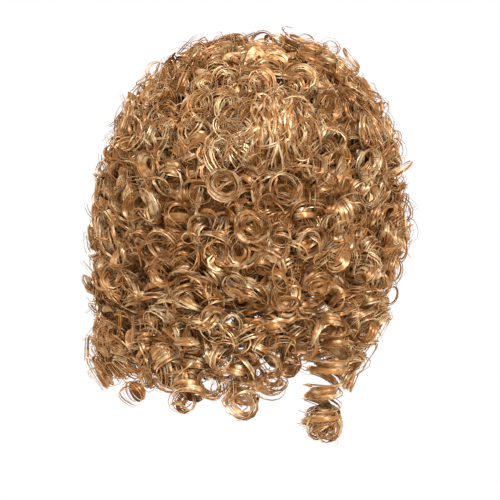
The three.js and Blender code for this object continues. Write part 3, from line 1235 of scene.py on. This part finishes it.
@dataclass(frozen=True)
class Matting:
    """The matted hair under the curls.

    Attributes:
        rows: rows of points down its walls.
        columns: columns of points round them.
        highest: the level where it starts, just beside the pole.
        lowest: the middle level of its lower edge.
        azimuths: the azimuths that it keeps to, clear of the face opening.
        ragged: how many levels its lower edge waves up and down.
        ragged_wave: that wave's radians in a degree round the head.
        lump: how far its lumps stand, as a share of the hair's depth.
        lump_waves: the lumps' waves, in radians a degree round the head and a level down.
        least: its least thickness, as a share of the hair's depth.
        farthest: the share of the hair's depth that it stays within.
    """

    rows: int = 14
    columns: int = 60
    highest: float = 0.004
    lowest: float = 1.42
    azimuths: Pair = (66, 294)
    ragged: float = 0.07
    ragged_wave: float = 0.23
    lump: float = 0.03
    lump_waves: tuple[Pair, ...] = ((0.31, 9), (0.17, -23), (0.43, 31))
    least: float = 0.06
    farthest: float = 0.9

    def add(self, pile: MeshPile, azimuths: Pair, levels: Pair, shares: Pair) -> None:
        """Adds a lumpy shell from the cap out to a share of the hair's depth.

        The outer wall is the form at the outer share plus three crossed sine waves. The walls meet
        along both rims, and a strip closes each end of a shell that doesn't go all the way round.

        Args:
            pile: where it goes.
            azimuths: the azimuths that it covers.
            levels: the levels that it covers.
            shares: the shares of the hair's depth that it fills, inner and outer.
        """
        ends = np.clip(azimuths, *self.azimuths) if azimuths[0] > 0 else azimuths
        azimuth = np.linspace(*ends, self.columns)[None, :] + np.zeros((self.rows, 1))
        hem = self.lowest + self.ragged * np.sin(azimuth * self.ragged_wave)
        low, high = max(levels[0], self.highest), np.minimum(levels[1], hem)
        level = low + (high - low) * np.linspace(0, 1, self.rows)[:, None]
        lumps = sum(np.sin(azimuth * round_ + level * down) for round_, down in self.lump_waves)
        share = shares[1] * FORM.cover(azimuth, level) + self.lump * lumps
        outer = FORM.at(azimuth, level, np.clip(share, shares[0] + self.least, self.farthest))
        inner = FORM.at(azimuth, level, np.full_like(level, shares[0]))
        points = np.concatenate([outer, inner[::-1]]).reshape(-1, 3)
        a = np.arange(len(points)).reshape(2 * self.rows, self.columns)
        b = np.roll(a, -1, axis=0)
        quads = np.stack([a[:, :-1], b[:, :-1], b[:, 1:], a[:, 1:]], -1).reshape(-1, 4)
        walls = [(a[: self.rows, column], a[: self.rows - 1 : -1, column]) for column in (0, -1)]
        strips = [np.stack([o[:-1], i[:-1], i[1:], o[1:]], -1) for o, i in walls]
        quads = np.concatenate([quads, strips[0], strips[1][:, ::-1]])
        pile.matted = len(quads)
        n = len(points)
        pile.add((points, quads, np.zeros((0, 3), int), np.zeros((n, 2)), np.zeros(n)))


@dataclass
class Weft(HairPiece):
    """One weft of the wig: matted hair with curls over it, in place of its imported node.

    Attributes:
        levels: the levels that it covers.
        azimuths: the azimuths that it covers.
        thickness: its share of a full weft's curls.
        matted: the shares of the hair's depth that its matted hair fills, inner and outer.
        lined: the levels where it has curls on its inside too.
        lining: how thickly the curls stand on the inside, as a share of those outside.
        matting: the matted hair.
    """

    levels: Pair
    azimuths: Pair
    thickness: float = 1
    matted: Pair = (0.02, 0.58)
    lined: Pair | None = None
    lining: float = 0.4
    matting: Matting = Matting()

    def grow(self, pile: MeshPile, rng: np.random.Generator) -> None:
        """Adds the matted hair and curls of every kind; the inside has no single loops.

        Args:
            pile: where they go.
            rng: the source of chance.
        """
        if self.levels[0] < self.matting.lowest - self.matting.ragged:
            self.matting.add(pile, self.azimuths, self.levels, self.matted)
        for curl in Curl:
            style = curl.value
            density = style.density * self.thickness
            lie = FORM.lie(*FORM.scatter(density, self.azimuths, self.levels, rng))
            if curl is not Curl.LOOP:
                lie = FORM.clumped(lie)
            pile.sweep(WINDING.wind(style, GROWTH.plant(style, lie, rng), rng))
            if self.lined and curl is not Curl.LOOP:
                places = FORM.scatter(density * self.lining, self.azimuths, self.lined, rng)
                pile.sweep(WINDING.wind(style, GROWTH.plant(style, FORM.lining(*places), rng), rng))


class Edge(Enum):
    """The edges of the face opening."""

    LEFT = "left"
    RIGHT = "right"
    TOP = "top"


@dataclass
class FaceEdge(HairPiece):
    """Curls that stand out of the hair's cut edge at one side of the face opening.

    Attributes:
        edge: which edge of the opening they follow.
        azimuths: the azimuths that they cover.
        levels: the levels that they cover.
        count: how many curls of each kind there are.
        shares: how far out they stand, between the inside and the outline.
        depth: how deep into the edge they start.
    """

    edge: Edge
    azimuths: Pair
    levels: Pair
    count: int
    shares: Pair = (0.1, 0.85)
    depth: float = 24 * MM

    def lie(self, rng: np.random.Generator) -> Lie:
        """Spreads places over the edge.

        Args:
            rng: the source of chance.

        Returns:
            The places, whose outward directions point into the face opening.
        """
        place = (np.arange(self.count) + rng.uniform(0.2, 0.8, self.count)) / self.count
        level = self.levels[0] + (self.levels[1] - self.levels[0]) * place
        azimuth = rng.uniform(*self.azimuths, self.count)
        if self.edge is Edge.TOP:
            azimuth = self.azimuths[0] + (self.azimuths[1] - self.azimuths[0]) * place
            level = rng.uniform(*self.levels, self.count)
        share = rng.uniform(*self.shares, self.count)
        outline = FORM.lie(azimuth, level)
        middle = FORM.at(azimuth, level, share)
        depth = np.full(self.count, self.depth)
        if self.edge is Edge.TOP:
            return Lie(middle, outline.down, outline.down, outline.round_, depth)
        ahead = outline.round_ * (1 if self.edge is Edge.RIGHT else -1)
        return Lie(middle, ahead, outline.down, outline.out, depth)

    def grow(self, pile: MeshPile, rng: np.random.Generator) -> None:
        """Adds curls of every kind along the edge.

        Args:
            pile: where they go.
            rng: the source of chance.
        """
        for curl in Curl:
            axes = GROWTH.plant(curl.value, self.lie(rng), rng)
            pile.sweep(WINDING.wind(curl.value, axes, rng))


@dataclass
class HemRinglets(HairPiece):
    """The ringlets that hang below the hem one by one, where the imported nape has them.

    The longest is one single coil with short curls round its tip. Each of the others is a chain of
    short curls, one below another, that ends in an open ring.

    Attributes:
        reach: how far a ringlet of full reach hangs below the hem.
        share: how far out between the inside and the outline their tips hang.
        tucked: how much less far out they start.
        start_level: the level where they leave the nape weft.
        tip_length: how far above a ringlet's end the middle of its last curl is.
        link: how far apart the short curls in a chain are.
        astray: how far they stray from it along each axis.
        leans: how far the short curls lean out from straight down.
        sway: how far they lean any other way.
        bow: how far their middles bend, as a share of their length.
        mix: the shares of ringlets, wisps and rosettes among them.
        tone: their middle tone and its scatter.
        loop_stray: how far the loose loop beside each of them strays from it.
        tress_level: the level where the longest ringlet starts.
        tress_share: how far out it hangs.
        tress_end: how far above its full reach its line ends.
        tress_bow: how far the middle of its line bends aside.
        tress_tone: its tone.
        tip_links: how many short curls gather round its tip.
        tip_stray: how far they stray from it.
    """

    reach: float = 66 * MM
    share: float = 0.8
    tucked: float = 0.1
    start_level: float = 1.62
    tip_length: float = 12 * MM
    link: float = 12 * MM
    astray: Triple = mm(4, 4, 2)
    leans: Pair = (0.2, 1.5)
    sway: float = 0.4
    bow: float = 0.1
    mix: Triple = (0.35, 0.3, 0.35)
    tone: Pair = (0.55, 0.12)
    loop_stray: float = 4 * MM
    tress_level: float = 1.66
    tress_share: float = 0.98
    tress_end: float = 4 * MM
    tress_bow: Triple = mm(6, -5, 0)
    tress_tone: float = 0.5
    tip_links: int = 5
    tip_stray: float = 4 * MM

    def tress(self, rng: np.random.Generator) -> Axes:
        """Gives the longest ringlet, one single coil, its line down from the nape.

        Args:
            rng: the source of chance.

        Returns:
            The line.
        """
        longest = [int(np.argmax(FORM.lock_reaches))]
        azimuth, share = np.array(FORM.lock_azimuths)[longest], np.full(1, self.tress_share)
        root = FORM.at(azimuth, np.full(1, self.tress_level), share)
        tip = FORM.at(azimuth, np.full(1, 2.0), share)
        tip[:, 2] = -FORM.hem_drop - max(FORM.lock_reaches) * self.reach + self.tress_end
        return Axes(
            root=root,
            bend=(root + tip) / 2 + np.array(self.tress_bow),
            tip=tip,
            radius=rng.uniform(*TRESS.radius, 1),
            turns=rng.uniform(*TRESS.turns, 1),
            tone=np.full(1, self.tress_tone),
        )

    def chains(self, rng: np.random.Generator) -> tuple[np.ndarray, np.ndarray]:
        """Places the chains' links, from where each ringlet starts down to its tip.

        Args:
            rng: the source of chance.

        Returns:
            The links' middles, and whether each ends in an open ring.
        """
        azimuth = np.array(FORM.lock_azimuths)
        reach = np.array(FORM.lock_reaches) * self.reach
        n = len(azimuth)
        top = FORM.at(azimuth, np.full(n, self.start_level), np.full(n, self.share - self.tucked))
        tip = FORM.at(azimuth, np.full(n, 2.0), np.full(n, self.share))
        tip[:, 2] = -FORM.hem_drop - reach + self.tip_length
        counts = np.ceil((top - tip)[:, 2] / self.link).astype(int) + 1
        chain = np.repeat(np.arange(n), counts)
        place = np.concatenate([np.linspace(0, 1, c) for c in counts])
        middle = top[chain] + (tip - top)[chain] * place[:, None]
        middle += rng.normal(0, 1, middle.shape) * np.array(self.astray)
        longest = chain == reach.argmax()
        end = middle[longest & (place == 1)] + np.array([0, 0, self.tip_stray])
        end = end + rng.normal(0, self.tip_stray, (self.tip_links, 3))
        middle, place = middle[~longest], place[~longest]
        return np.concatenate([middle, end]), np.append(place == 1, np.arange(self.tip_links) % 2 == 0)

    def axes(self, style: CurlStyle, middle: np.ndarray, rng: np.random.Generator) -> Axes:
        """Gives short curls their lines through given middles, leaning out more or less.

        Args:
            style: the kind of curl.
            middle: the curls' middles.
            rng: the source of chance.

        Returns:
            The lines.
        """
        n = len(middle)
        turns = rng.uniform(*style.turns, n)
        length = (turns * rng.uniform(*style.pitch, n))[:, None]
        out = unit(middle * np.array([1, 1, 0]))
        lean = rng.uniform(*self.leans, (n, 1))
        sway = self.sway * rng.normal(0, 1, (n, 3))
        free = unit(np.cos(lean) * np.array([0, 0, -1.0]) + np.sin(lean) * out + sway)
        return Axes(
            root=middle - 0.5 * length * free,
            bend=middle + self.bow * length * rng.normal(0, 1, (n, 3)),
            tip=middle + 0.5 * length * free,
            radius=rng.uniform(*style.radius, n),
            turns=turns,
            tone=self.tone[0] + rng.normal(0, self.tone[1], n),
        )

    def grow(self, pile: MeshPile, rng: np.random.Generator) -> None:
        """Adds the long coil, the chains of short curls, and a loose loop beside each of those.

        Args:
            pile: where they go.
            rng: the source of chance.
        """
        middle, ring = self.chains(rng)
        kinds = (Curl.RINGLET, Curl.WISP, Curl.ROSETTE)
        kind = rng.choice(len(kinds), len(middle), p=self.mix)
        kind[ring] = kinds.index(Curl.ROSETTE)
        pile.sweep(WINDING.wind(TRESS, self.tress(rng), rng))
        for i, curl in enumerate(kinds):
            pile.sweep(WINDING.wind(curl.value, self.axes(curl.value, middle[kind == i], rng), rng))
        loose = middle + rng.normal(0, 1, middle.shape) * self.loop_stray
        pile.sweep(WINDING.wind(Curl.LOOP.value, self.axes(Curl.LOOP.value, loose, rng), rng))


@dataclass
class CrownFloss(HairPiece):
    """Fine loose strands over the crown's back: small flat whorls, and a combed patch beside them.

    Attributes:
        levels: the levels that the whorls cover.
        azimuths: the azimuths that the whorls cover.
        paler: how much paler the whorls are than the curls.
        combed_levels: the levels where the combed strands start.
        combed_azimuths: the middle of the azimuths where they start, and their scatter.
        combed_count: how many combed strands there are.
        combed_samples: points along one of them.
        drops: how many levels they run down.
        veer: how many degrees they drift to either side by their ends.
        sway: the degrees of their slow wave.
        sway_waves: how many waves they make.
        starts: how far above the outline their ends lie, in millimetres.
        bow: how far they bow out in the middle, in millimetres.
        widths: their widths, in millimetres.
        pointed: how much of their width they lose towards both ends.
        tone: their middle tone and its scatter.
    """

    levels: Pair = (0.5, 0.8)
    azimuths: Pair = (152, 202)
    paler: float = 0.12
    combed_levels: Pair = (0.54, 0.68)
    combed_azimuths: Pair = (190, 5)
    combed_count: int = 260
    combed_samples: int = 9
    drops: Pair = (0.04, 0.19)
    veer: float = 3.5
    sway: float = 1.3
    sway_waves: Pair = (0.4, 1.0)
    starts: Pair = (-8, -3)
    bow: float = 8
    widths: Pair = (0.8, 2.4)
    pointed: float = 0.75
    tone: Pair = (0.64, 0.14)

    def combed(self, rng: np.random.Generator) -> Strands:
        """Lays nearly straight strands down the head, where the crown's hair parts from its whorl.

        Each follows the outline down from its own start, drifts a little to one side with a slow
        wave, and bows outwards in its middle.

        Args:
            rng: the source of chance.

        Returns:
            The strands.
        """
        each = (self.combed_count, 1)
        s = np.linspace(0, 1, self.combed_samples)[None]
        level = rng.uniform(*self.combed_levels, each) + rng.uniform(*self.drops, each) * s
        wave = self.sway * drift(rng.uniform(*self.sway_waves, each) * s, each, rng)
        azimuth = rng.normal(*self.combed_azimuths, each) + rng.normal(0, self.veer, each) * s + wave
        lie = FORM.lie(azimuth, level)
        above = (rng.uniform(*self.starts, each) + self.bow * np.sin(math.pi * s)) * MM
        return Strands(
            centre=lie.place + lie.out * above[..., None],
            wide=lie.round_,
            width=rng.uniform(*self.widths, each) * MM * (1 - self.pointed * (2 * s - 1) ** 2),
            tone=self.tone[0] + rng.normal(0, self.tone[1], each) + np.zeros_like(s),
        )

    def grow(self, pile: MeshPile, rng: np.random.Generator) -> None:
        """Adds the whorls and the combed patch.

        Args:
            pile: where they go.
            rng: the source of chance.
        """
        lie = FORM.lie(*FORM.scatter(FLOSS.density, self.azimuths, self.levels, rng))
        axes = GROWTH.plant(FLOSS, lie, rng)
        axes.tone += self.paler
        pile.sweep(WINDING.wind(FLOSS, axes, rng))
        pile.sweep(self.combed(rng))


def hair_pieces() -> list[HairPiece]:
    """All the wig's hair: its wefts from the crown down, the face opening's edges and the loose hair.

    Returns:
        The pieces.
    """
    back, left, right = (104, 256), (54, 104), (256, 306)
    side, inside = (0.25, 0.45), (1.1, 1.8)
    return [
        Weft("crown_weft", "curls", 11, (0, 0.36), (0, 360)),
        Weft("fringe_weft", "curls", 12, (0.36, 0.76), (-60, 60), 1.2),
        Weft("upper_weft", "curls", 13, (0.36, 0.68), (60, 300)),
        Weft("middle_weft", "left", 14, (0.68, 1.02), (57, 180)),
        Weft("middle_weft", "right", 19, (0.68, 1.02), (180, 303)),
        Weft("lower_weft", "curls", 15, (1.02, 1.38), back, 0.95, (0.2, 0.58), (1.2, 1.38), 0.25),
        Weft("left_side_weft", "curls", 16, (1.02, 1.92), left, 0.85, side, inside),
        Weft("right_side_weft", "curls", 17, (1.02, 1.86), right, 0.85, side, inside),
        Weft("nape_weft", "curls", 18, (1.38, 1.74), back, 0.85, lined=(1.4, 1.7), lining=0.25),
        Weft("nape_weft", "ends", 20, (1.74, 2.0), back, 0.7),
        FaceEdge("left_side_weft", "face_edge", 51, Edge.LEFT, (55, 64), (0.8, 1.85), 17),
        FaceEdge("right_side_weft", "face_edge", 52, Edge.RIGHT, (296, 305), (0.8, 1.8), 17),
        FaceEdge("fringe_weft", "face_edge", 53, Edge.TOP, (-58, 58), (0.7, 0.77), 13, (0.3, 0.8), 14 * MM),
        HemRinglets("nape_weft", "ringlets", 34),
        CrownFloss("upper_weft", "floss", 41),
    ]


@dataclass(frozen=True)
class Lamp:
    """A soft square light.

    Attributes:
        name: its name.
        place: where it stands.
        size: its side in metres.
        power: its power in watts.
    """

    name: str
    place: Triple
    size: float
    power: float


@dataclass(frozen=True)
class Studio:
    """The plain studio: a pale floor, a white surround, soft lights and the camera behind the wig.

    Attributes:
        floor_drop: how far the floor lies below the origin.
        floor_radius: its radius.
        floor_tone: its lightness.
        surround_light: how strongly the surround lights the wig, where 1 is how bright it looks.
        surround_tint: the tint of that light.
        lamps: the lights, which face the middle.
        distance: how far the camera stands from the middle.
        picture_width: how much it takes in across the middle.
        middle: what it looks at.
        elevation: how many degrees it looks down.
    """

    floor_drop: float = 0.47
    floor_radius: float = 0.5
    floor_tone: float = 0.9
    surround_light: float = 1.4
    surround_tint: Triple = (1, 0.89, 0.72)
    lamps: tuple[Lamp, ...] = (
        Lamp("key", (-0.6, 1.65, 0.7), 0.45, 38),
        Lamp("top", (0.2, 0.6, 1.2), 0.7, 5),
        Lamp("front", (0.4, -1.7, 0.5), 1.2, 30),
    )
    distance: float = 1.8
    picture_width: float = 0.435
    middle: Vector = Vector((0, 0, -0.148))
    elevation: float = 3.0

    def floor(self) -> None:
        """Lays a round floor with a pale, matte finish."""
        bpy.ops.mesh.primitive_circle_add(
            vertices=96, radius=self.floor_radius, fill_type="NGON", location=(0, 0, -self.floor_drop)
        )
        floor = bpy.context.object
        floor.name = "floor"
        mat = bpy.data.materials.new("pale_floor")
        mat.use_nodes = True
        shader = mat.node_tree.nodes["Principled BSDF"]
        shader.inputs["Base Color"].default_value = (self.floor_tone,) * 3 + (1,)
        shader.inputs["Roughness"].default_value = 0.9
        floor.data.materials.append(mat)

    def surround(self) -> None:
        """Sets a surround that looks white and lights the wig warmly."""
        world = bpy.data.worlds.new("surround")
        bpy.context.scene.world = world
        world.use_nodes = True
        recipe = Recipe(world.node_tree)
        seen = recipe.add("LightPath", {}).outputs["Is Camera Ray"]
        strength = recipe.add("MapRange", {"Value": seen, "To Min": self.surround_light, "To Max": 1})
        tint = {"Factor": seen, "A": (*self.surround_tint, 1), "B": (1, 1, 1, 1)}
        colour = recipe.add("Mix", tint, data_type="RGBA").outputs["Result"]
        background = world.node_tree.nodes["Background"]
        recipe.fill(background, {"Color": colour, "Strength": strength.outputs["Result"]})

    def light(self, lamp: Lamp) -> None:
        """Adds a lamp that faces the middle.

        Args:
            lamp: the lamp.
        """
        data = bpy.data.lights.new(lamp.name, "AREA")
        data.size, data.energy = lamp.size, lamp.power
        light = bpy.data.objects.new(lamp.name, data)
        light.location = lamp.place
        light.rotation_euler = (self.middle - Vector(lamp.place)).to_track_quat("-Z", "Y").to_euler()
        bpy.context.scene.collection.objects.link(light)

    def camera(self) -> None:
        """Sets the camera behind the wig, a little above its middle."""
        data = bpy.data.cameras.new("camera")
        camera = bpy.data.objects.new("camera", data)
        rise = math.radians(self.elevation)
        back = Vector((0, math.cos(rise), math.sin(rise)))
        camera.location = self.middle + back * self.distance
        camera.rotation_euler = (-back).to_track_quat("-Z", "Y").to_euler()
        data.lens = data.sensor_width * self.distance / self.picture_width
        bpy.context.scene.collection.objects.link(camera)
        bpy.context.scene.camera = camera

    def build(self) -> None:
        """Sets the surround, the floor, the lights and the camera."""
        bpy.context.scene.view_settings.view_transform = "Standard"
        self.surround()
        self.floor()
        for lamp in self.lamps:
            self.light(lamp)
        self.camera()


def main() -> None:
    logging.basicConfig(level=logging.INFO, format="%(name)s %(message)s")
    Studio().build()
    materials = [HairFinish().material(), MatFinish().material()]
    for piece in hair_pieces():
        piece.build(materials)
    for node, finish in (("cap", NetFinish()), ("edge_band", ElasticFinish())):
        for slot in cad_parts[node].material_slots:
            slot.material = finish.material()
        log.info("%s: %s", node, finish.name)


if __name__ == "__main__":
    main()
